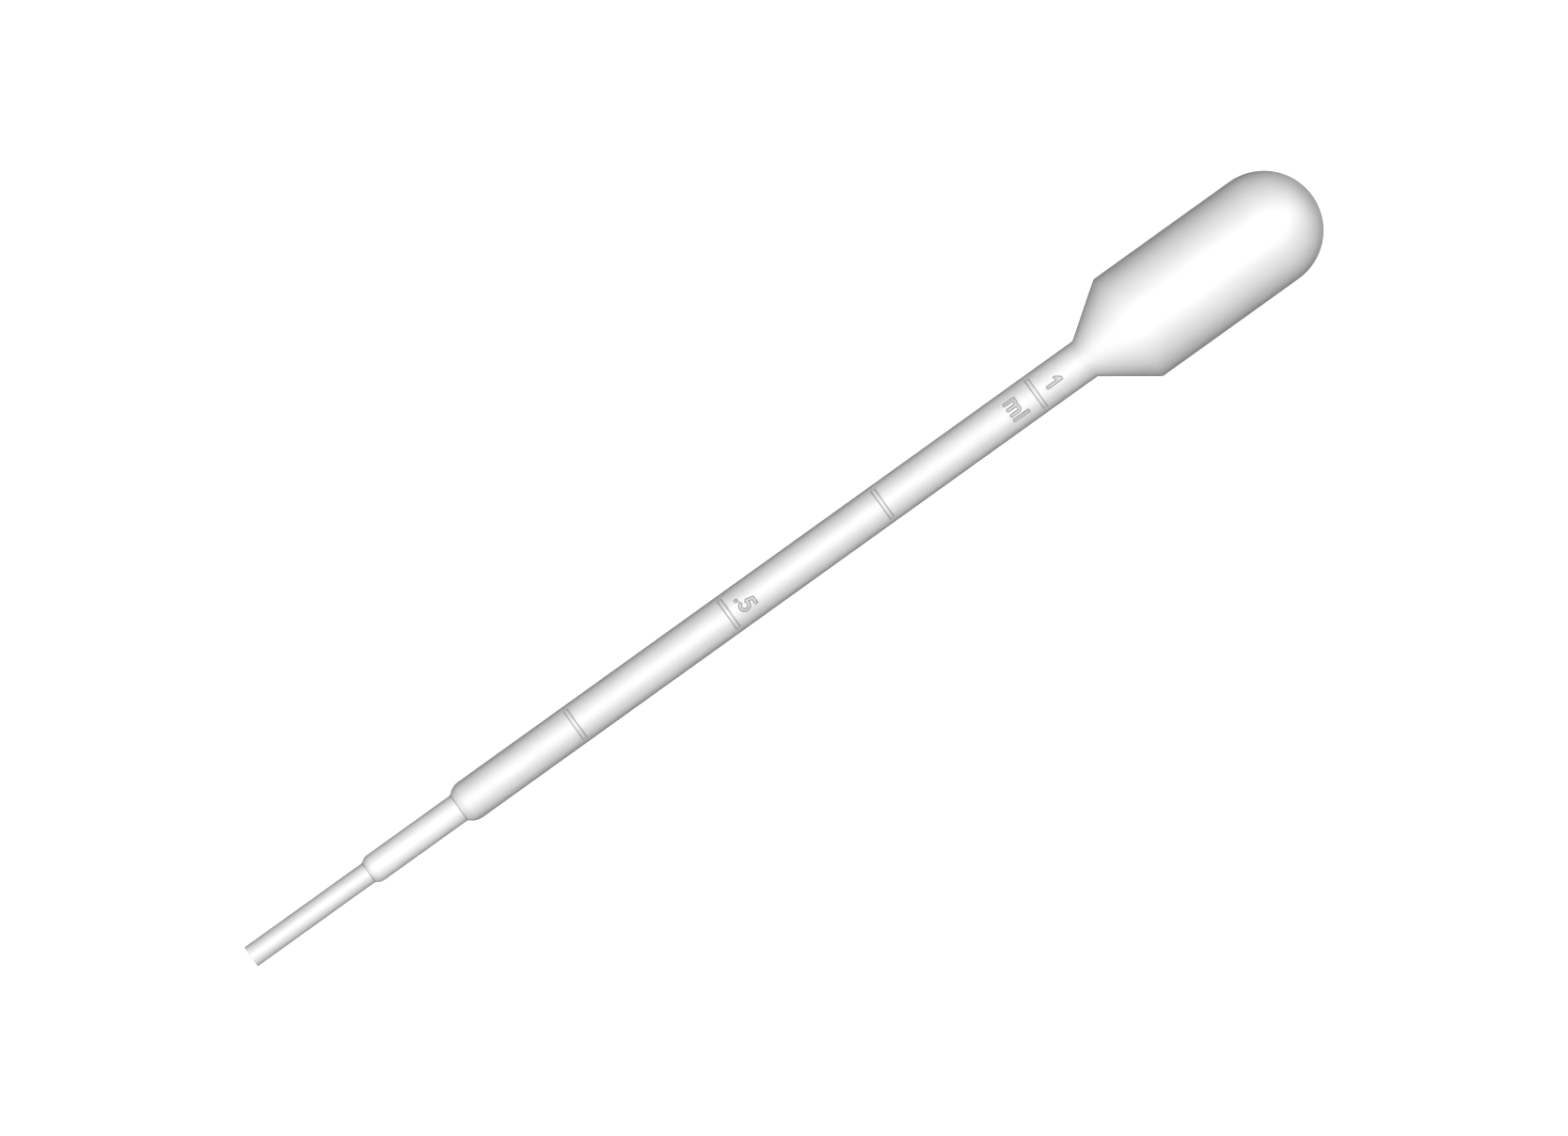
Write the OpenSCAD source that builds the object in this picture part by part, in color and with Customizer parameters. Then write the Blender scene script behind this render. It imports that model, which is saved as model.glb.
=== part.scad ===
// Graduated transfer pipette with an integral squeeze bulb, blow moulded in one piece from
// natural polyethylene. It lies at rest on its tip and on the shoulder of its bulb, with the
// graduation uppermost. +X runs from the tip to the bulb, +Z is up, and the origin is under the
// middle of the whole length. Sizes are in millimetres, volumes in microlitres, angles in degrees.

/* [Tip] */
// Outside diameter of the drawn tip
tip_d = 2.7; // [2.3:0.05:3.1]
// Inside diameter of the drawn tip
tip_bore = 1.2; // [0.8:0.05:1.5]
// Length of the tip, from its mouth to the first shoulder
tip_len = 16.65; // [10:0.05:25]

/* [Neck] */
// Outside diameter of the neck
neck_d = 3.55; // [3.35:0.05:4.2]
// Inside diameter of the neck
neck_bore = 2.15; // [1.8:0.05:2.6]
// Length of the neck, between the two shoulders
neck_len = 12.75; // [8:0.05:20]
// Radius of the shoulder that rounds the neck's end down to the tip
neck_shoulder_r = 1.4; // [1:0.05:2]

/* [Stem] */
// Outside diameter of the graduated stem
stem_d = 5; // [4.8:0.05:6]
// Inside diameter of the graduated stem
stem_bore = 3.83; // [3.5:0.01:4.2]
// Length of the stem, from the second shoulder to the bulb
stem_len = 88.45; // [60:0.05:110]
// Radius of the shoulder that rounds the stem's end down to the neck
stem_shoulder_r = 2.1; // [1.4:0.05:3]

/* [Bulb] */
// Outside diameter of the bulb
bulb_d = 13.75; // [11:0.05:18]
// Wall of the bulb
bulb_wall = 0.45; // [0.3:0.05:0.8]
// Length of the cone from the stem to the full width of the bulb
cone_len = 6.1; // [4:0.05:10]
// Length of the straight part of the bulb, before its round end
barrel_len = 19.2; // [10:0.05:30]

/* [Graduation] */
// Number of quarter millilitre lines, as far as the stem has room for them
line_count = 4; // [1:1:4]
// Width of a line along the stem
line_w = 0.5; // [0.3:0.05:0.8]
// Angle of the stem's round that a line takes
line_arc = 96; // [60:1:160]
// Height of the lines and figures above the stem
relief = 0.16; // [0.05:0.01:0.25]

/* [Figures] */
// Height of the figures and of the letter l
figure_h = 2.15; // [1.9:0.05:2.6]
// Width of the strokes
stroke = 0.35; // [0.25:0.01:0.4]
// Gap between a line and the figure above it
figure_gap = 1.1; // [0.6:0.05:1.6]
// Gap between the top line and the unit below it
unit_gap = 1.5; // [0.6:0.05:2]
// Gap between neighbouring letters or figures
letter_gap = 0.28; // [0.2:0.01:0.4]
// Height of the letter m
letter_h = 1.58; // [1.3:0.01:1.8]
// Gap between the decimal point and the round of the figure 5's bowl
point_gap = 0.13; // [0.1:0.01:0.3]
// Radius of the inside of the letter m's arches
arch_r = 0.195; // [0.15:0.005:0.25]
// Radius along the middle of the figure 5's bowl
bowl_r = 0.525; // [0.42:0.005:0.6]
// Width of the figure 5's top bar
bar_w = 0.92; // [0.8:0.01:1.1]
// How far the figure 1's flag reaches out from its upright
flag_run = 0.44; // [0.3:0.01:0.6]
// Depth of the flag where it leaves the upright
flag_root = 0.7; // [0.6:0.01:0.9]
// How far the end of the flag lies below the top of the figure
flag_drop = 0.57; // [0.4:0.01:0.7]
// Depth of the flag at its end
flag_end = 0.3; // [0.2:0.01:0.35]

/* [Hidden] */
$fn = 180;

tip_r = tip_d / 2;
neck_r = neck_d / 2;
stem_r = stem_d / 2;
bulb_r = bulb_d / 2;
tip_bore_r = tip_bore / 2;
neck_bore_r = neck_bore / 2;
stem_bore_r = stem_bore / 2;
bulb_bore_r = bulb_r - bulb_wall;
stem_wall = stem_r - stem_bore_r;

// Volume between two lines, and the volumes that carry a figure.
step_volume = 250;
half_volume = 500;
full_volume = 1000;

// The figure 5's bowl is open between these angles, and its bar starts this far left of its middle.
bowl_open = [140, 200];
bar_left = 0.31;

// Run of a rounded shoulder along the axis: its arc starts on the thin tube and ends flush with
// the thick one.
function arc_run(thin, thick, r) = sqrt(2 * r * (thick - thin) - pow(thick - thin, 2));

// Stations along the axis, from the mouth of the tip. A shoulder's arcs, outside and inside, have
// one radius and end at one station.
neck_full = tip_len + arc_run(tip_r, neck_r, neck_shoulder_r);
stem_start = tip_len + neck_len;
stem_full = stem_start + arc_run(neck_r, stem_r, stem_shoulder_r);
cone_start = stem_start + stem_len;
barrel_start = cone_start + cone_len;
dome_start = barrel_start + barrel_len;

// The wall keeps its thickness round the corners of the cone.
cone_angle = atan((bulb_r - stem_r) / cone_len);
cone_bore_start = cone_start + stem_wall * tan(cone_angle / 2);
barrel_bore_start = barrel_start + bulb_wall * tan(cone_angle / 2);

// Volume inside a straight bore, and inside a rounded shoulder.
function bore_volume(r, run) = PI * r * r * run;
function shoulder_volume(thin, thick, r) =
    let (run = arc_run(thin, thick, r), off = thick - r, depth = r - thick + thin)
    PI * ((off * off + r * r) * run - pow(run, 3) / 3
        + off * (run * depth + r * r * acos(depth / r) * PI / 180));

// What the pipette holds below the full width of the stem's bore, and the height to which it
// fills with a given volume.
neck_bore_run = arc_run(tip_bore_r, neck_bore_r, neck_shoulder_r);
stem_bore_run = arc_run(neck_bore_r, stem_bore_r, stem_shoulder_r);
foot_volume = bore_volume(tip_bore_r, neck_full - neck_bore_run)
    + shoulder_volume(tip_bore_r, neck_bore_r, neck_shoulder_r)
    + bore_volume(neck_bore_r, stem_full - stem_bore_run - neck_full)
    + shoulder_volume(neck_bore_r, stem_bore_r, stem_shoulder_r);
function level(volume) = stem_full + (volume - foot_volume) / (PI * stem_bore_r * stem_bore_r);

// Rest: the tip's rim and the bulb's shoulder touch the ground.
rest_angle = atan((bulb_r - tip_r) / barrel_start);
lift = tip_r * cos(rest_angle);
x_low = -tip_r * sin(rest_angle);
x_high = dome_start * cos(rest_angle) + bulb_r;

// Half of a round section, on the outer side of the axis. Across is the radius, up is the axis.
module half_disk(off, station, r) {
    intersection() {
        translate([off, station])
            circle(r);
        translate([0, station - 2 * r])
            square([2 * (off + r), 4 * r]);
    }
}

// Half section of a whole stepped body, solid to the axis: straight runs, the two shoulders'
// arcs and the dome.
module body_section(tip, neck, stem, bulb, cone_from, barrel_from) {
    polygon([[0, 0], [tip, 0], [tip, neck_full], [neck, neck_full], [neck, stem_full],
        [stem, stem_full], [stem, cone_from], [bulb, barrel_from], [bulb, dome_start],
        [0, dome_start]]);
    half_disk(neck - neck_shoulder_r, neck_full, neck_shoulder_r);
    half_disk(stem - stem_shoulder_r, stem_full, stem_shoulder_r);
    half_disk(0, dome_start, bulb);
}

// The moulded wall, upright on its tip.
module wall() {
    rotate_extrude()
        difference() {
            body_section(tip_r, neck_r, stem_r, bulb_r, cone_start, barrel_start);
            body_section(tip_bore_r, neck_bore_r, stem_bore_r, bulb_bore_r,
                cone_bore_start, barrel_bore_start);
        }
}

// Figure 1, upright and flag together centred on x = 0, with its foot on y = 0.
module figure_one() {
    left = (flag_run - stroke) / 2;
    translate([left, 0])
        square([stroke, figure_h]);
    polygon([[left + stroke / 2, figure_h], [left, figure_h],
        [left - flag_run, figure_h - flag_drop],
        [left - flag_run, figure_h - flag_drop - flag_end], [left, figure_h - flag_root],
        [left + stroke / 2, figure_h - flag_root]]);
}

// Figure 5, with the middle of its bowl on x = 0 and its foot on y = 0.
module figure_five() {
    out_r = bowl_r + stroke / 2;
    in_r = bowl_r - stroke / 2;
    wide = 2 * out_r;
    function ray(r, angle) = [r * cos(angle), out_r + r * sin(angle)];
    // bar
    translate([-bar_left, figure_h - stroke])
        square([bar_w, stroke]);
    // back, from the bar to the upper end of the bowl
    polygon([[-bar_left, figure_h], [stroke - bar_left, figure_h], ray(in_r, bowl_open[0]),
        ray(out_r, bowl_open[0])]);
    // bowl
    difference() {
        translate([0, out_r])
            circle(out_r);
        translate([0, out_r])
            circle(in_r);
        polygon([ray(0, 0), ray(wide, bowl_open[0]), ray(wide, bowl_open[1])]);
    }
}

// Decimal point and figure 5, centred on x = 0.
module figure_half() {
    five_w = 2 * bowl_r + stroke;
    all_w = stroke + point_gap + five_w;
    translate([-all_w / 2, 0])
        square(stroke);
    translate([(all_w - five_w) / 2, 0])
        figure_five();
}

// One arch of the letter m with its two legs, its left edge on x = 0 and its feet on y = 0.
module arch() {
    out_r = arch_r + stroke;
    spring = letter_h - out_r;
    translate([out_r, spring])
        intersection() {
            difference() {
                circle(out_r);
                circle(arch_r);
            }
            translate([-2 * out_r, 0])
                square([4 * out_r, 2 * out_r]);
        }
    for (x = [0, out_r + arch_r])
        translate([x, 0])
            square([stroke, spring + arch_r / 2]);
}

// The unit, ml, centred on x = 0 with its feet on y = 0.
module unit_ml() {
    leg_pitch = 2 * arch_r + stroke;
    all_w = 2 * leg_pitch + stroke + letter_gap + stroke;
    translate([-all_w / 2, 0]) {
        for (i = [0, 1])
            translate([i * leg_pitch, 0])
                arch();
        square([stroke, letter_h]);
        translate([all_w - stroke, 0])
            square([stroke, figure_h]);
    }
}

// A ring round the axis, from the middle of the stem's wall out to the top of the relief.
module relief_band(from, run) {
    translate([0, 0, from])
        linear_extrude(run)
            difference() {
                circle(stem_r + relief);
                circle(stem_r - stem_wall / 2);
            }
}

// A figure raised on the front of the stem, -X, with its foot at a station of the axis. Its own
// up is the stem's, so its right is -Y.
module raised_figure(foot) {
    intersection() {
        translate([0, 0, foot])
            rotate([90, 0, -90])
                linear_extrude(stem_d)
                    children();
        relief_band(foot - stroke, figure_h + 2 * stroke);
    }
}

// A line raised round the front of the stem, its middle at a station of the axis.
module raised_line(middle) {
    reach = 2 * stem_d;
    side = reach * tan(line_arc / 2);
    intersection() {
        relief_band(middle - line_w / 2, line_w);
        translate([0, 0, middle - line_w])
            linear_extrude(2 * line_w)
                polygon([[0, 0], [-reach, side], [-reach, -side]]);
    }
}

// Every line that the stem has room for, with its figures.
module graduation() {
    for (volume = [step_volume : step_volume : line_count * step_volume]) {
        middle = level(volume);
        above = middle + line_w / 2 + figure_gap;
        below = middle - line_w / 2 - unit_gap - figure_h;
        if (below > stem_full && above + figure_h < cone_start) {
            raised_line(middle);
            if (volume == half_volume)
                raised_figure(above) figure_half();
            if (volume == full_volume) {
                raised_figure(above) figure_one();
                raised_figure(below) unit_ml();
            }
        }
    }
}

module pipette() {
    color("ghostwhite")
        translate([-(x_low + x_high) / 2, 0, lift])
            rotate([0, 90 - rest_angle, 0])
                union() {
                    wall();
                    graduation();
                }
}

pipette();
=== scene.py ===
"""Looks of the plastic dropper pipette: one moulded piece of natural polyethylene on a pale floor.

Sizes are in millimetres until they become coordinates, which are in metres. A place on the
moulding is its station along the axis, counted from the mouth of the tip, and its angle round
the axis, counted from the front of the scale.
"""

import math

import bpy
import numpy as np
from mathutils import Matrix, Vector


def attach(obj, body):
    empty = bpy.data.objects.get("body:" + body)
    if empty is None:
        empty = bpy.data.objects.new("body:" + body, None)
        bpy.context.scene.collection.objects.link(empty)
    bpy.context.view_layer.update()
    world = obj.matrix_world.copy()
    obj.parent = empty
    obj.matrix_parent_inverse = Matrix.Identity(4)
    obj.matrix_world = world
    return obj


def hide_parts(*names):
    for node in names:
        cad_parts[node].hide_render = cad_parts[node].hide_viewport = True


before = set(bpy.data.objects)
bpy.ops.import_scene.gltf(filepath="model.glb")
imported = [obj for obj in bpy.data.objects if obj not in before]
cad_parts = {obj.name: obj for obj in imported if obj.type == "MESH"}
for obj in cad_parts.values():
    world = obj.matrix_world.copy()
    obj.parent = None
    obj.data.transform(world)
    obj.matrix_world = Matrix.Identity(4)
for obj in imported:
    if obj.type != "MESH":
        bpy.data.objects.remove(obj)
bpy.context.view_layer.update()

MM = 0.001

# Outside and inside of the moulding.
TIP_R, NECK_R, STEM_R, BULB_R = 1.35, 1.775, 2.5, 6.875
TIP_BORE_R, NECK_BORE_R, STEM_BORE_R, BULB_WALL = 0.6, 1.075, 1.915, 0.45
TIP_LEN, NECK_LEN, STEM_LEN, CONE_LEN, BARREL_LEN = 16.65, 12.75, 88.45, 6.1, 19.2
NECK_SHOULDER_R, STEM_SHOULDER_R = 1.4, 2.1

# Graduation: lines and figures raised on the stem. A quarter millilitre of the bore, in cubic
# millimetres, lies between two lines, and the first one stands where the first quarter ends.
LINE_W, LINE_ARC, RELIEF = 0.5, 96.0, 0.16
FIRST_LINE, LINE_VOLUME, LINE_COUNT = 45.8403, 250.0, 4
LINE_PITCH = LINE_VOLUME / (math.pi * STEM_BORE_R ** 2)
LINES = tuple(FIRST_LINE + i * LINE_PITCH for i in range(LINE_COUNT))
HALF_LINE, ONE_LINE = LINES[1], LINES[3]
FIGURE_H, STROKE, FIGURE_GAP, UNIT_GAP, LETTER_GAP = 2.15, 0.35, 1.1, 1.5, 0.28
LETTER_H, ARCH_R, POINT_GAP = 1.58, 0.195, 0.13
BOWL_R, BAR_W, BAR_LEFT, BOWL_OPEN = 0.525, 0.92, 0.31, (140.0, 200.0)
FLAG_RUN, FLAG_ROOT, FLAG_DROP, FLAG_END = 0.44, 0.7, 0.57, 0.3

# What the mould leaves: a rounded rim, how far the cone's edges look softened along the wall,
# the width of the slope beside a raised mark and the rounding of the strokes' ends. Then painted
# shade: half the width of the painted shade along a mark's edges, and how far the lines have the
# figures' painted shade.
RIM_R, SOFTNESS, SLOPE_W, END_R, EDGE_SHADE_W, LINE_SHADE = 0.07, 1.6, 0.1, 0.11, 0.08, 0.33

# Leaning of the dome's surface from the axis' normal, and the leaning that its shading shows.
DOME_LEAN = (0, 24, 34, 39, 45, 52, 60, 69, 90)
DOME_SHADE = (0, 20, 28, 33, 41, 50.5, 62.5, 75, 90)

# Strength and reach of the painted shade in the crease below a shoulder.
CREASE_SHADE, CREASE_SHADE_W = 0.8, 0.09

# Spacing of the mesh on the figures, half of their greatest width, how far their rows go past
# them, the closest that two rows come, and the rows beside the edge of a line in slope widths.
GRID, FIGURES_HALF_W, ROW_MARGIN, ROW_GAP = 0.035, 1.33, 0.1, 0.008
EDGE_STEPS = (-1, -0.65, -0.3, 0, 0.3, 0.65, 1)

# Columns of the mesh from the figures to a line's end, and from there to the back.
SIDE_COLUMNS, BACK_COLUMNS = 7, 29

# A length that counts as none, and a distance that keeps the marks off the back of the stem.
TINY, OUT_OF_REACH = 1e-6, 9.0

# Framing: the width that is seen, its middle counted from the mouth, and how the axis slants.
VIEW_W, MIDDLE_RIGHT, MIDDLE_UP = 180.036, 61.21008, 44.67312
AXIS_ANGLE = math.radians(35.658)
CAMERA_FAR, SENSOR_W = 3.0, 36.0

# Greys of the thick wall and of the wall painted lighter as painted light, each a pair that the
# clouding runs between, and the painted shade that the fill and the edges of a mark multiply them by.
THICK_WALL, LIGHTENED_WALL, MARK_SHADE_TONE, EDGE_SHADE_TONE = (0.70, 0.73), (0.81, 0.84), 0.64, 0.15

# Where the clouding starts and ends in its noise, and the roughness that the flow runs between.
CLOUD_EDGES, SATIN = (0.3, 0.7), (0.58, 0.70)

# Strength of the light from below, the Z of a direction where it ends, and the floor's grey and glow.
BELOW, BELOW_EDGE, FLOOR_GREY, FLOOR_GLOW = 5.0, -0.75, 0.8, 0.7


def arc_run(thin, thick, radius):
    """How far a rounded shoulder runs along the axis."""
    return math.sqrt(2 * radius * (thick - thin) - (thick - thin) ** 2)


NECK_FULL = TIP_LEN + arc_run(TIP_R, NECK_R, NECK_SHOULDER_R)
STEM_START = TIP_LEN + NECK_LEN
STEM_FULL = STEM_START + arc_run(NECK_R, STEM_R, STEM_SHOULDER_R)
CONE_START = STEM_START + STEM_LEN
BARREL_START = CONE_START + CONE_LEN
DOME_START = BARREL_START + BARREL_LEN
TIP_BORE_END = NECK_FULL - arc_run(TIP_BORE_R, NECK_BORE_R, NECK_SHOULDER_R)
NECK_BORE_END = STEM_FULL - arc_run(NECK_BORE_R, STEM_BORE_R, STEM_SHOULDER_R)
CONE_TURN = math.tan(math.atan((BULB_R - STEM_R) / CONE_LEN) / 2)
CONE_BORE_START = CONE_START + (STEM_R - STEM_BORE_R) * CONE_TURN
BARREL_BORE_START = BARREL_START + BULB_WALL * CONE_TURN
MARK_R = STEM_R + RELIEF / 2

# How far the wall is painted lighter, from 0 to 1, at stations along the moulding: painted light
# on the neck, and rising over the cone to the whole bulb.
WALL_LIGHTENING = (
    (TIP_LEN, NECK_FULL, STEM_START, STEM_FULL, CONE_START, BARREL_START),
    (0.0, 0.6, 0.6, 0.0, 0.0, 1.0))

# The lying axis, the way the scale faces, and the middle of the mouth in the CAD frame.
REST_ANGLE = math.atan((BULB_R - TIP_R) / BARREL_START)
AXIS = np.array([math.cos(REST_ANGLE), 0, math.sin(REST_ANGLE)])
FRONT = np.array([-math.sin(REST_ANGLE), 0, math.cos(REST_ANGLE)])
SIDE = np.array([0.0, 1.0, 0.0])
X_LOW, X_HIGH = -TIP_R * math.sin(REST_ANGLE), DOME_START * math.cos(REST_ANGLE) + BULB_R
MOUTH = np.array([-(X_LOW + X_HIGH) / 2, 0, TIP_R * math.cos(REST_ANGLE)])


# ---------------------------------------------------------------- marks, as signed distances

def box_distance(x, y, low, high):
    """Distance to a rectangle's edge, negative inside."""
    dx = np.maximum(low[0] - x, x - high[0])
    dy = np.maximum(low[1] - y, y - high[1])
    return np.minimum(np.maximum(dx, dy), 0) + np.hypot(np.maximum(dx, 0), np.maximum(dy, 0))


def stroke_distance(x, y, low, high):
    """Distance to the edge of a straight stroke with rounded corners."""
    low, high = np.array(low) + END_R, np.array(high) - END_R
    return box_distance(x, y, low, high) - END_R


def polygon_distance(x, y, corners):
    """Distance to a polygon's edge, negative inside."""
    nearest = np.full_like(x, np.inf)
    inside = np.zeros_like(x, bool)
    for (ax, ay), (bx, by) in zip(corners, corners[1:] + corners[:1]):
        ex, ey = bx - ax, by - ay
        t = np.clip(((x - ax) * ex + (y - ay) * ey) / (ex * ex + ey * ey), 0, 1)
        nearest = np.minimum(nearest, np.hypot(x - ax - t * ex, y - ay - t * ey))
        if ey:
            inside ^= ((ay > y) != (by > y)) & (x < ex * (y - ay) / ey + ax)
    return np.where(inside, -nearest, nearest)


def ring_distance(x, y, radius):
    """Distance to the edge of a ring one stroke wide."""
    return np.abs(np.hypot(x, y) - radius) - STROKE / 2


def figure_one(x, y):
    """Upright and flag of the figure 1."""
    left = (FLAG_RUN - STROKE) / 2
    upright = stroke_distance(x, y, (left, 0), (left + STROKE, FIGURE_H))
    end, middle = left - FLAG_RUN, left + STROKE / 2
    flag = polygon_distance(x, y, [
        (middle, FIGURE_H), (left, FIGURE_H), (end, FIGURE_H - FLAG_DROP),
        (end, FIGURE_H - FLAG_DROP - FLAG_END), (left, FIGURE_H - FLAG_ROOT),
        (middle, FIGURE_H - FLAG_ROOT)])
    return np.minimum(upright, flag)


def figure_five(x, y):
    """Bar, back and open bowl of the figure 5."""
    out_r, in_r = BOWL_R + STROKE / 2, BOWL_R - STROKE / 2

    def on_ray(reach, degrees):
        a = math.radians(degrees)
        return reach * math.cos(a), out_r + reach * math.sin(a)

    bar = box_distance(x, y, (-BAR_LEFT, FIGURE_H - STROKE), (BAR_W - BAR_LEFT, FIGURE_H))
    back = polygon_distance(x, y, [
        (-BAR_LEFT, FIGURE_H), (STROKE - BAR_LEFT, FIGURE_H),
        on_ray(in_r, BOWL_OPEN[0]), on_ray(out_r, BOWL_OPEN[0])])
    gap = polygon_distance(x, y, [(0, out_r)] + [on_ray(2 * out_r, a) for a in BOWL_OPEN])
    bowl = np.maximum(ring_distance(x, y - out_r, BOWL_R), -gap)
    return np.minimum(np.minimum(bar, back), bowl)


def figure_half(x, y):
    """Decimal point and figure 5."""
    five_w = 2 * BOWL_R + STROKE
    all_w = STROKE + POINT_GAP + five_w
    point = box_distance(x, y, (-all_w / 2, 0), (-all_w / 2 + STROKE, STROKE))
    return np.minimum(point, figure_five(x - (all_w - five_w) / 2, y))


def unit_ml(x, y):
    """The unit, ml: a stem, two arches with their legs, and the tall letter."""
    pitch = 2 * ARCH_R + STROKE
    left = -(2 * pitch + STROKE + LETTER_GAP + STROKE) / 2
    out_r = ARCH_R + STROKE
    spring = LETTER_H - out_r
    shape = stroke_distance(x, y, (left, 0), (left + STROKE, LETTER_H))
    for i in (0, 1):
        middle = left + i * pitch + out_r
        arch = np.maximum(ring_distance(x - middle, y - spring, ARCH_R + STROKE / 2), spring - y)
        leg = stroke_distance(x, y, (middle + ARCH_R, 0), (middle + out_r, spring + 2 * END_R))
        shape = np.minimum(shape, np.minimum(arch, leg))
    tall = stroke_distance(x, y, (-left - STROKE, 0), (-left, FIGURE_H))
    return np.minimum(shape, tall)


# Each figure and the station of its foot.
FIGURES = (
    (figure_half, HALF_LINE + LINE_W / 2 + FIGURE_GAP),
    (figure_one, ONE_LINE + LINE_W / 2 + FIGURE_GAP),
    (unit_ml, ONE_LINE - LINE_W / 2 - UNIT_GAP - FIGURE_H),
)


def marks_distance(station, angle):
    """Distances to the edges of the nearest line and figure, seen from the front of the stem."""
    x = -MARK_R * np.sin(angle)
    reach = MARK_R * math.sin(math.radians(LINE_ARC) / 2)
    lines = [box_distance(x, station, (-reach, middle - LINE_W / 2), (reach, middle + LINE_W / 2))
             for middle in LINES]
    figures = [shape(x, station - foot) for shape, foot in FIGURES]
    behind = np.where(np.abs(angle) < math.pi / 2, 0, OUT_OF_REACH)
    return np.min(lines, 0) + behind, np.min(figures, 0) + behind


# ---------------------------------------------------------------- half section

def run_to(path, end, longest=2.5, guard=0.09):
    """Straight run to a point, with a row near each end so that shading stays flat along it."""
    start = np.array(path[-1])
    end = np.array(end)
    length = np.linalg.norm(end - start)
    if length > 3 * guard:
        share = guard / length
        steps = max(2, math.ceil(length / longest) + 1)
        path += [tuple(start + (end - start) * t) for t in np.linspace(share, 1 - share, steps)]
    if length > TINY:
        path.append(tuple(end))


def corner_to(path, corner, after, radius, steps=5):
    """Straight run towards a corner, and round it by a radius."""
    here, back = np.array(corner), np.array(path[-1])
    to_back = (back - here) / np.linalg.norm(back - here)
    to_next = (np.array(after) - here) / np.linalg.norm(np.array(after) - here)
    half = math.acos(to_back @ to_next) / 2
    centre = here + (to_back + to_next) / np.linalg.norm(to_back + to_next) * radius / math.sin(half)
    first, last = (here + d * radius / math.tan(half) - centre for d in (to_back, to_next))
    run_to(path, centre + first)
    turn = math.pi - 2 * half
    for t in np.linspace(0, 1, steps)[1:]:
        mix = math.sin((1 - t) * turn) * first + math.sin(t * turn) * last
        path.append(tuple(centre + mix / math.sin(turn)))


def shoulder_to(path, thin, thick, radius, full, steps=13):
    """Rounded shoulder from a thin tube up to a thick one; its arc meets the thick one smoothly."""
    start = math.acos((thin - thick + radius) / radius)
    for a in np.linspace(start, 0, steps)[1:]:
        path.append((full - radius * math.sin(a), thick - radius + radius * math.cos(a)))


def dome_points(radius, step):
    """Quarter circle from the barrel's end to near the pole."""
    return [(DOME_START + radius * math.sin(a), radius * math.cos(a))
            for a in np.radians(np.arange(step, 90, step))]


def outside():
    """Half section of the outside, from the rim of the mouth to the last ring of the dome."""
    path = [(0.0, TIP_BORE_R + RIM_R)]
    corner_to(path, (0, TIP_R), (TIP_LEN, TIP_R), RIM_R)
    run_to(path, (TIP_LEN, TIP_R))
    shoulder_to(path, TIP_R, NECK_R, NECK_SHOULDER_R, NECK_FULL)
    run_to(path, (STEM_START, NECK_R))
    shoulder_to(path, NECK_R, STEM_R, STEM_SHOULDER_R, STEM_FULL)
    run_to(path, (CONE_START - SOFTNESS, STEM_R))
    path += [(CONE_START, STEM_R), (BARREL_START, BULB_R), (BARREL_START + SOFTNESS, BULB_R)]
    run_to(path, (DOME_START, BULB_R))
    return path + dome_points(BULB_R, step=3)


def inside():
    """Half section of the inside, from the rim of the mouth to the last ring under the dome."""
    wide = BULB_R - BULB_WALL
    path = [(0.0, TIP_BORE_R + RIM_R)]
    corner_to(path, (0, TIP_BORE_R), (TIP_LEN, TIP_BORE_R), RIM_R, steps=4)
    run_to(path, (TIP_BORE_END, TIP_BORE_R), longest=9)
    shoulder_to(path, TIP_BORE_R, NECK_BORE_R, NECK_SHOULDER_R, NECK_FULL, steps=6)
    run_to(path, (NECK_BORE_END, NECK_BORE_R), longest=9)
    shoulder_to(path, NECK_BORE_R, STEM_BORE_R, STEM_SHOULDER_R, STEM_FULL, steps=6)
    run_to(path, (CONE_BORE_START, STEM_BORE_R), longest=12)
    run_to(path, (BARREL_BORE_START, wide))
    run_to(path, (DOME_START, wide), longest=5)
    return path + dome_points(wide, step=6)


def mark_rows():
    """Stations of the rows that the lines and figures need."""
    rows = [np.arange(foot - ROW_MARGIN, foot + FIGURE_H + ROW_MARGIN, GRID)
            for _, foot in FIGURES]
    edge = np.array(EDGE_STEPS) * SLOPE_W
    rows += [middle + half + edge for middle in LINES for half in (-LINE_W / 2, LINE_W / 2)]
    return np.concatenate(rows)


def column_angles():
    """Angles of the columns, all round from the back; they are close together on the marks."""
    front = np.arcsin(np.arange(-FIGURES_HALF_W, FIGURES_HALF_W + GRID / 4, GRID) / STEM_R)
    end = math.sin(math.radians(LINE_ARC) / 2) + SLOPE_W / MARK_R * np.array(EDGE_STEPS)
    end = np.arcsin(end)
    side = np.concatenate([np.linspace(front[-1], end[0], SIDE_COLUMNS)[1:-1], end,
                           np.linspace(end[-1], math.pi, BACK_COLUMNS)[1:]])
    return np.concatenate([-side[::-1], front, side[:-1]])


# ---------------------------------------------------------------- mesh

def place(station, radius, angle):
    """World points of the moulding, in metres."""
    out = np.cos(angle)[..., None] * FRONT + np.sin(angle)[..., None] * SIDE
    return (MOUTH + station[..., None] * AXIS + radius[..., None] * out) * MM


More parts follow.
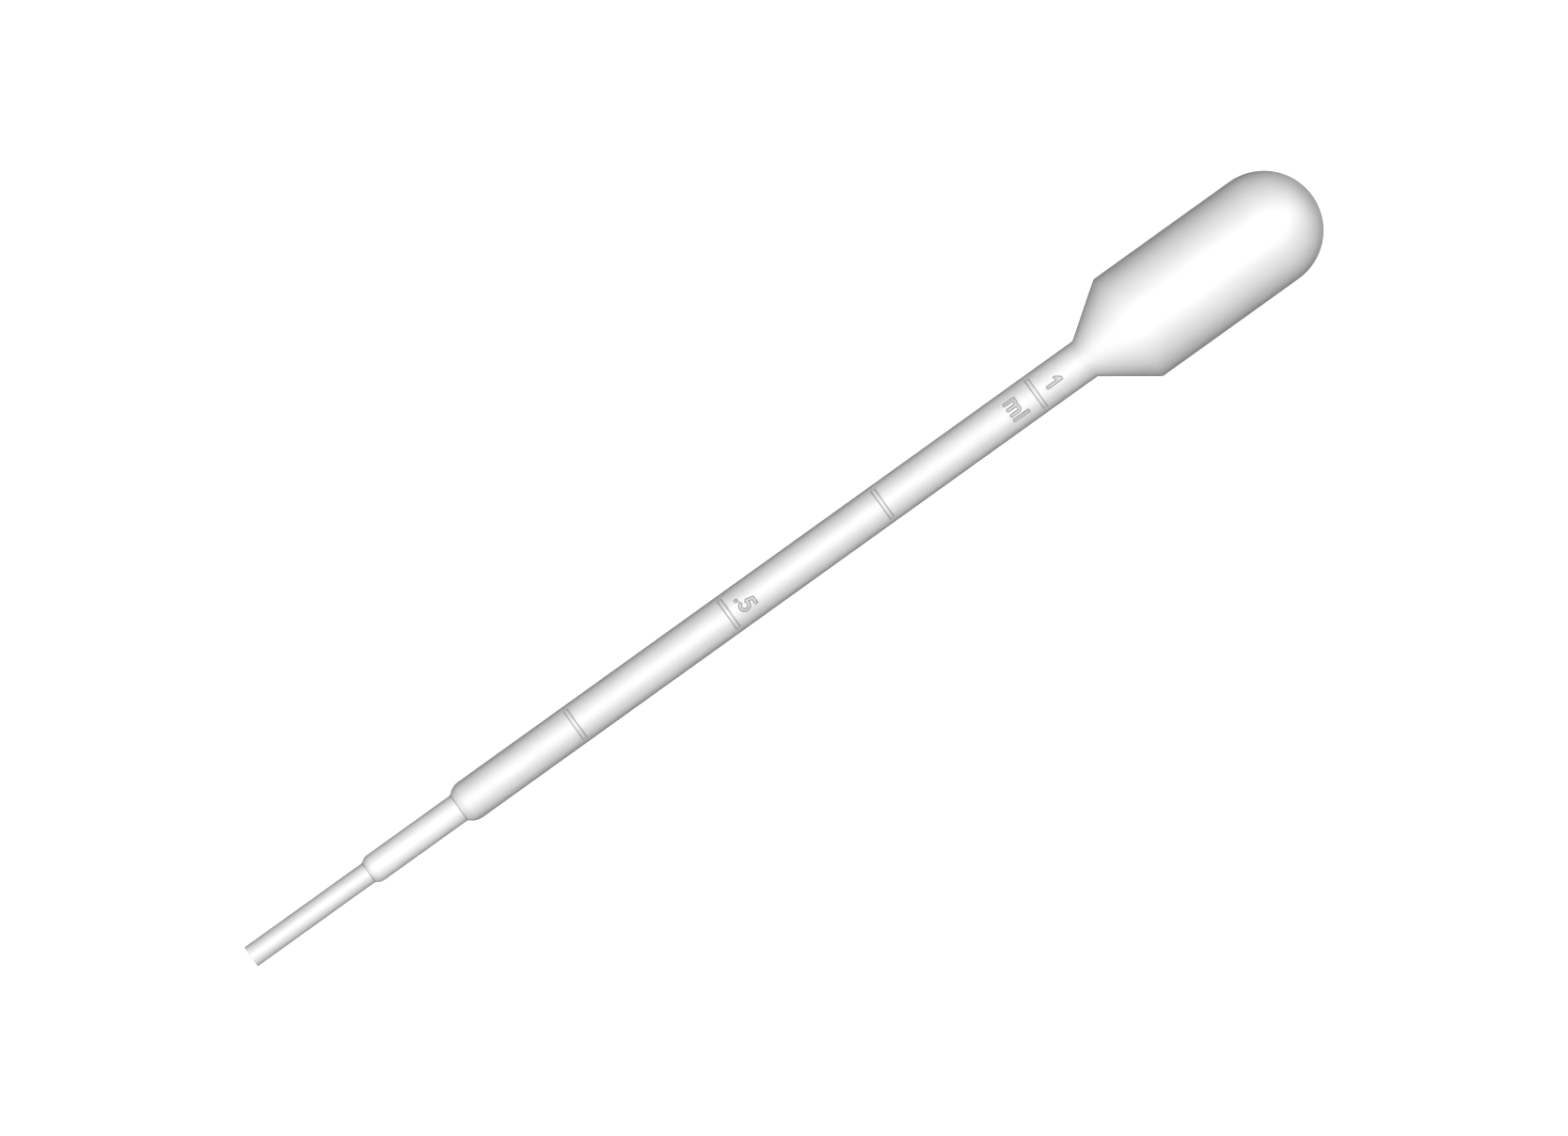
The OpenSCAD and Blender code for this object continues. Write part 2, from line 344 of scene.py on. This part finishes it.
def section_rows():
    """Half section of the closed wall from the inner pole to the outer one, and the stem's rows."""
    outer = np.array(outside())
    stem_end = CONE_START - SOFTNESS / 2
    before = outer[outer[:, 0] <= STEM_FULL]
    after = outer[outer[:, 0] >= stem_end]
    plain = outer[(outer[:, 0] > STEM_FULL) & (outer[:, 0] < stem_end), 0]
    stations = np.sort(np.concatenate([plain, mark_rows()]))
    stations = stations[np.concatenate([[True], np.diff(stations) > ROW_GAP])]
    stem = np.stack([stations, np.full_like(stations, STEM_R)], 1)
    inner = np.array(inside())[1:][::-1]
    first = len(inner) + len(before)
    return np.concatenate([inner, before, stem, after]), slice(first, first + len(stem))


def shading_normals(mesh):
    """Normals of the mesh's points, with those of the outer dome leaning as the photograph shades it."""
    normals = np.empty(3 * len(mesh.vertices))
    mesh.vertex_normals.foreach_get("vector", normals)
    points = np.empty_like(normals)
    mesh.vertices.foreach_get("co", points)
    normals, points = normals.reshape(-1, 3), points.reshape(-1, 3) / MM - MOUTH
    station = points @ AXIS
    across = points - station[:, None] * AXIS
    radius = np.linalg.norm(across, axis=1)
    outer = np.hypot(station - DOME_START, radius) > BULB_R - BULB_WALL / 2
    dome = (station > DOME_START) & outer & (radius > TINY)
    lean = np.degrees(np.arctan2(station[dome] - DOME_START, radius[dome]))
    lean = np.radians(np.interp(lean, DOME_LEAN, DOME_SHADE))
    out = across[dome] / radius[dome, None]
    normals[dome] = np.cos(lean)[:, None] * out + np.sin(lean)[:, None] * AXIS
    return normals


def moulding_mesh():
    """The whole moulding, outside and bore, as one closed mesh.

    Its attributes say how much painted shade each point has on a raised mark's fill, how much
    painted shade it has by a mark's edge or in the crease below a shoulder, and how far its wall
    is painted lighter, which is painted light.
    """
    section, stem = section_rows()
    angles = column_angles()
    station, angle = np.meshgrid(section[:, 0], angles, indexing="ij")
    radius = np.repeat(section[:, 1:], len(angles), 1)
    away = np.ones((2,) + station.shape)
    away[:, stem] = marks_distance(station[stem], angle[stem])
    height = np.clip(0.5 - away / SLOPE_W, 0, 1)
    # Painted shade: the fill of the raised marks is darkened, the lines' less than the figures'.
    mark_shade = np.maximum(height[0] * LINE_SHADE, height[1])
    # Painted shade along the edges of the raised marks.
    edge_shade = np.clip(1 - np.abs(away.min(0)) / EDGE_SHADE_W, 0, 1)
    # Painted shade in the creases below the shoulders, added to the marks' edge shade.
    for crease, tube_r in ((TIP_LEN, TIP_R), (STEM_START, NECK_R)):
        near = np.hypot(station - crease, radius - tube_r)
        edge_shade = np.maximum(edge_shade, CREASE_SHADE * np.clip(1 - near / CREASE_SHADE_W, 0, 1))
    # Painted light: how far the wall is painted lighter, by station.
    thin = np.interp(station, *WALL_LIGHTENING)
    points = place(station, radius + height.max(0) * RELIEF, angle).reshape(-1, 3)

    poles = np.array([DOME_START + BULB_R - BULB_WALL, DOME_START + BULB_R])
    points = np.concatenate([points, place(poles, np.zeros(2), np.zeros(2))])
    grid = np.arange(station.size).reshape(station.shape)
    turned = np.roll(grid, -1, 1)
    quads = np.stack([grid[:-1], grid[1:], turned[1:], turned[:-1]], -1).reshape(-1, 4)
    inner_pole, outer_pole = station.size, station.size + 1
    fans = [(inner_pole, int(a), int(b)) for a, b in zip(grid[0], turned[0])]
    fans += [(outer_pole, int(b), int(a)) for a, b in zip(grid[-1], turned[-1])]

    mesh = bpy.data.meshes.new("pipette_body")
    mesh.from_pydata(points.tolist(), [], quads.tolist() + fans)
    mesh.shade_smooth()
    for name, values, at_poles in (("mark_shade", mark_shade, 0), ("edge_shade", edge_shade, 0), ("thin", thin, 1)):
        attribute = mesh.attributes.new(name, "FLOAT", "POINT")
        every = np.append(values.ravel(), [at_poles, at_poles])
        attribute.data.foreach_set("value", every.astype(np.float32))
    mesh.update()
    mesh.normals_split_custom_set_from_vertices(shading_normals(mesh))
    return mesh


# ---------------------------------------------------------------- materials

def grey(value):
    """Opaque grey."""
    return (value, value, value, 1)


def polyethylene():
    """Natural polyethylene: milky and faintly cloudy, satin, with the fine grain of its mould."""
    material = bpy.data.materials.new("natural_ldpe")
    material.use_nodes = True
    nodes, links = material.node_tree.nodes, material.node_tree.links
    shader = nodes["Principled BSDF"]
    shader.inputs["IOR"].default_value = 1.9
    shader.inputs["Specular IOR Level"].default_value = 1.0
    shader.inputs["Subsurface Weight"].default_value = 0.25
    shader.inputs["Subsurface Radius"].default_value = (1, 1, 1)
    shader.inputs["Subsurface Scale"].default_value = 1.5 * MM
    where = nodes.new("ShaderNodeTexCoord")

    def noise(scale, detail, stretch=(1, 1, 1)):
        """Noise in line with the lying moulding."""
        mapping = nodes.new("ShaderNodeMapping")
        mapping.inputs["Rotation"].default_value = (0, REST_ANGLE, 0)
        mapping.inputs["Scale"].default_value = stretch
        texture = nodes.new("ShaderNodeTexNoise")
        texture.inputs["Scale"].default_value = scale
        texture.inputs["Detail"].default_value = detail
        links.new(where.outputs["Object"], mapping.inputs["Vector"])
        links.new(mapping.outputs["Vector"], texture.inputs["Vector"])
        return texture.outputs["Fac"]

    def mixed(kind, attribute, first, second):
        """Colour changed by a second one, or tinted towards it, as far as the attribute says."""
        amount = nodes.new("ShaderNodeAttribute")
        amount.attribute_name = attribute
        mix = nodes.new("ShaderNodeMixRGB")
        mix.blend_type = kind
        links.new(amount.outputs["Fac"], mix.inputs["Fac"])
        links.new(first, mix.inputs["Color1"])
        if isinstance(second, tuple):
            mix.inputs["Color2"].default_value = second
        else:
            links.new(second, mix.inputs["Color2"])
        return mix.outputs["Color"]

    def cloudy(texture, greys):
        """Two greys, from where the noise is low to where it is high."""
        ramp = nodes.new("ShaderNodeValToRGB")
        for element, edge, value in zip(ramp.color_ramp.elements, CLOUD_EDGES, greys):
            element.position, element.color = edge, grey(value)
        links.new(texture, ramp.inputs["Fac"])
        return ramp.outputs["Color"]

    cloud = noise(scale=140, detail=3)
    # Painted light: the neck and the bulb get the lighter greys.
    colour = mixed("MIX", "thin", cloudy(cloud, THICK_WALL), cloudy(cloud, LIGHTENED_WALL))
    # Painted shade on the fill of the raised marks.
    colour = mixed("MULTIPLY", "mark_shade", colour, grey(MARK_SHADE_TONE))
    # Painted shade along the marks' edges and in the creases below the shoulders.
    colour = mixed("MULTIPLY", "edge_shade", colour, grey(EDGE_SHADE_TONE))
    links.new(colour, shader.inputs["Base Color"])

    flow = noise(scale=260, detail=2, stretch=(0.08, 1, 1))
    satin = nodes.new("ShaderNodeMapRange")
    satin.inputs["To Min"].default_value, satin.inputs["To Max"].default_value = SATIN
    links.new(flow, satin.inputs["Value"])
    links.new(satin.outputs["Result"], shader.inputs["Roughness"])

    bump = nodes.new("ShaderNodeBump")
    bump.inputs["Strength"].default_value = 0.12
    bump.inputs["Distance"].default_value = 0.01 * MM
    links.new(noise(scale=2600, detail=4), bump.inputs["Height"])
    links.new(bump.outputs["Normal"], shader.inputs["Normal"])
    return material


def floor_paper():
    """White paper that also glows, so that it stays white beside the object."""
    material = bpy.data.materials.new("floor_paper")
    material.use_nodes = True
    shader = material.node_tree.nodes["Principled BSDF"]
    shader.inputs["Base Color"].default_value = grey(FLOOR_GREY)
    shader.inputs["Roughness"].default_value = 0.9
    shader.inputs["Specular IOR Level"].default_value = 0.0
    shader.inputs["Emission Color"].default_value = grey(1)
    shader.inputs["Emission Strength"].default_value = FLOOR_GLOW
    return material


# ---------------------------------------------------------------- scene

def add_object(name, data):
    """New object in the scene."""
    thing = bpy.data.objects.new(name, data)
    bpy.context.scene.collection.objects.link(thing)
    return thing


def add_floor(half=8.0):
    """Pale floor under the object, which blocks none of the light from below."""
    mesh = bpy.data.meshes.new("floor")
    mesh.from_pydata([(-half, -half, 0), (half, -half, 0), (half, half, 0), (-half, half, 0)],
                     [], [(0, 1, 2, 3)])
    mesh.materials.append(floor_paper())
    floor = add_object("floor", mesh)
    floor.visible_diffuse = False
    floor.visible_glossy = False
    floor.visible_shadow = False
    return floor


def stand(thing, x_axis, y_axis, z_axis, place_at):
    """Turns and places a camera or a lamp, both of which look along their own -Z."""
    turn = Matrix([Vector(v) for v in (x_axis, y_axis, z_axis)]).transposed().to_4x4()
    thing.matrix_world = Matrix.Translation(Vector(place_at)) @ turn


def add_softbox(name, lean, along, across, radiance, far=4.2):
    """Oval softbox that faces the object, leaning over by an angle from the front to the bulb.

    Its size is given by the half angles that it fills, seen from the object, and its power by the
    radiance that it shows.
    """
    lamp = bpy.data.lights.new(name, "AREA")
    lamp.shape = "ELLIPSE"
    lamp.size = 2 * far * math.tan(math.radians(along))
    lamp.size_y = 2 * far * math.tan(math.radians(across))
    area = math.pi * lamp.size * lamp.size_y / 4
    lamp.energy = radiance * math.pi * area
    tilt = math.radians(lean)
    facing = math.cos(tilt) * FRONT + math.sin(tilt) * AXIS
    length = math.cos(tilt) * AXIS - math.sin(tilt) * FRONT
    stand(add_object(name, lamp), length, SIDE, facing, far * facing)


def add_lights():
    """A long softbox above the scale, in line with the moulding, and one past each end of it."""
    add_softbox("key_softbox", lean=0, along=68, across=18, radiance=4.1)
    add_softbox("tip_softbox", lean=-70, along=14, across=14, radiance=1.5)
    add_softbox("bulb_softbox", lean=42, along=12, across=12, radiance=1.8)
    add_room()


def add_room():
    """Dark room with soft light from below only, as a pale floor throws it back."""
    world = bpy.data.worlds.new("room")
    world.use_nodes = True
    nodes, links = world.node_tree.nodes, world.node_tree.links
    where = nodes.new("ShaderNodeTexCoord")
    split = nodes.new("ShaderNodeSeparateXYZ")
    level = nodes.new("ShaderNodeMapRange")
    for name, value in (("From Min", -1), ("From Max", BELOW_EDGE), ("To Min", BELOW), ("To Max", 0)):
        level.inputs[name].default_value = value
    links.new(where.outputs["Generated"], split.inputs["Vector"])
    links.new(split.outputs["Z"], level.inputs["Value"])
    links.new(level.outputs["Result"], nodes["Background"].inputs["Color"])
    world.cycles_visibility.glossy = False
    bpy.context.scene.world = world


def add_camera():
    """Camera square to the scale, turned so that the tip points down to the left."""
    right = math.cos(AXIS_ANGLE) * AXIS - math.sin(AXIS_ANGLE) * SIDE
    up = math.sin(AXIS_ANGLE) * AXIS + math.cos(AXIS_ANGLE) * SIDE
    middle = (MOUTH + MIDDLE_RIGHT * right + MIDDLE_UP * up) * MM
    data = bpy.data.cameras.new("camera")
    data.sensor_width = SENSOR_W
    data.lens = SENSOR_W * CAMERA_FAR / (VIEW_W * MM)
    data.clip_start, data.clip_end = 0.1, 50
    camera = add_object("camera", data)
    stand(camera, right, up, FRONT, middle + CAMERA_FAR * FRONT)
    bpy.context.scene.camera = camera


def dress():
    """The moulding with its looks, on the body and the node that the frame gives it."""
    body = add_object("pipette_body", moulding_mesh())
    body.data.materials.append(polyethylene())
    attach(body, "root")
    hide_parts("pipette")


dress()
add_floor()
add_lights()
add_camera()
bpy.context.scene.view_settings.view_transform = "Standard"
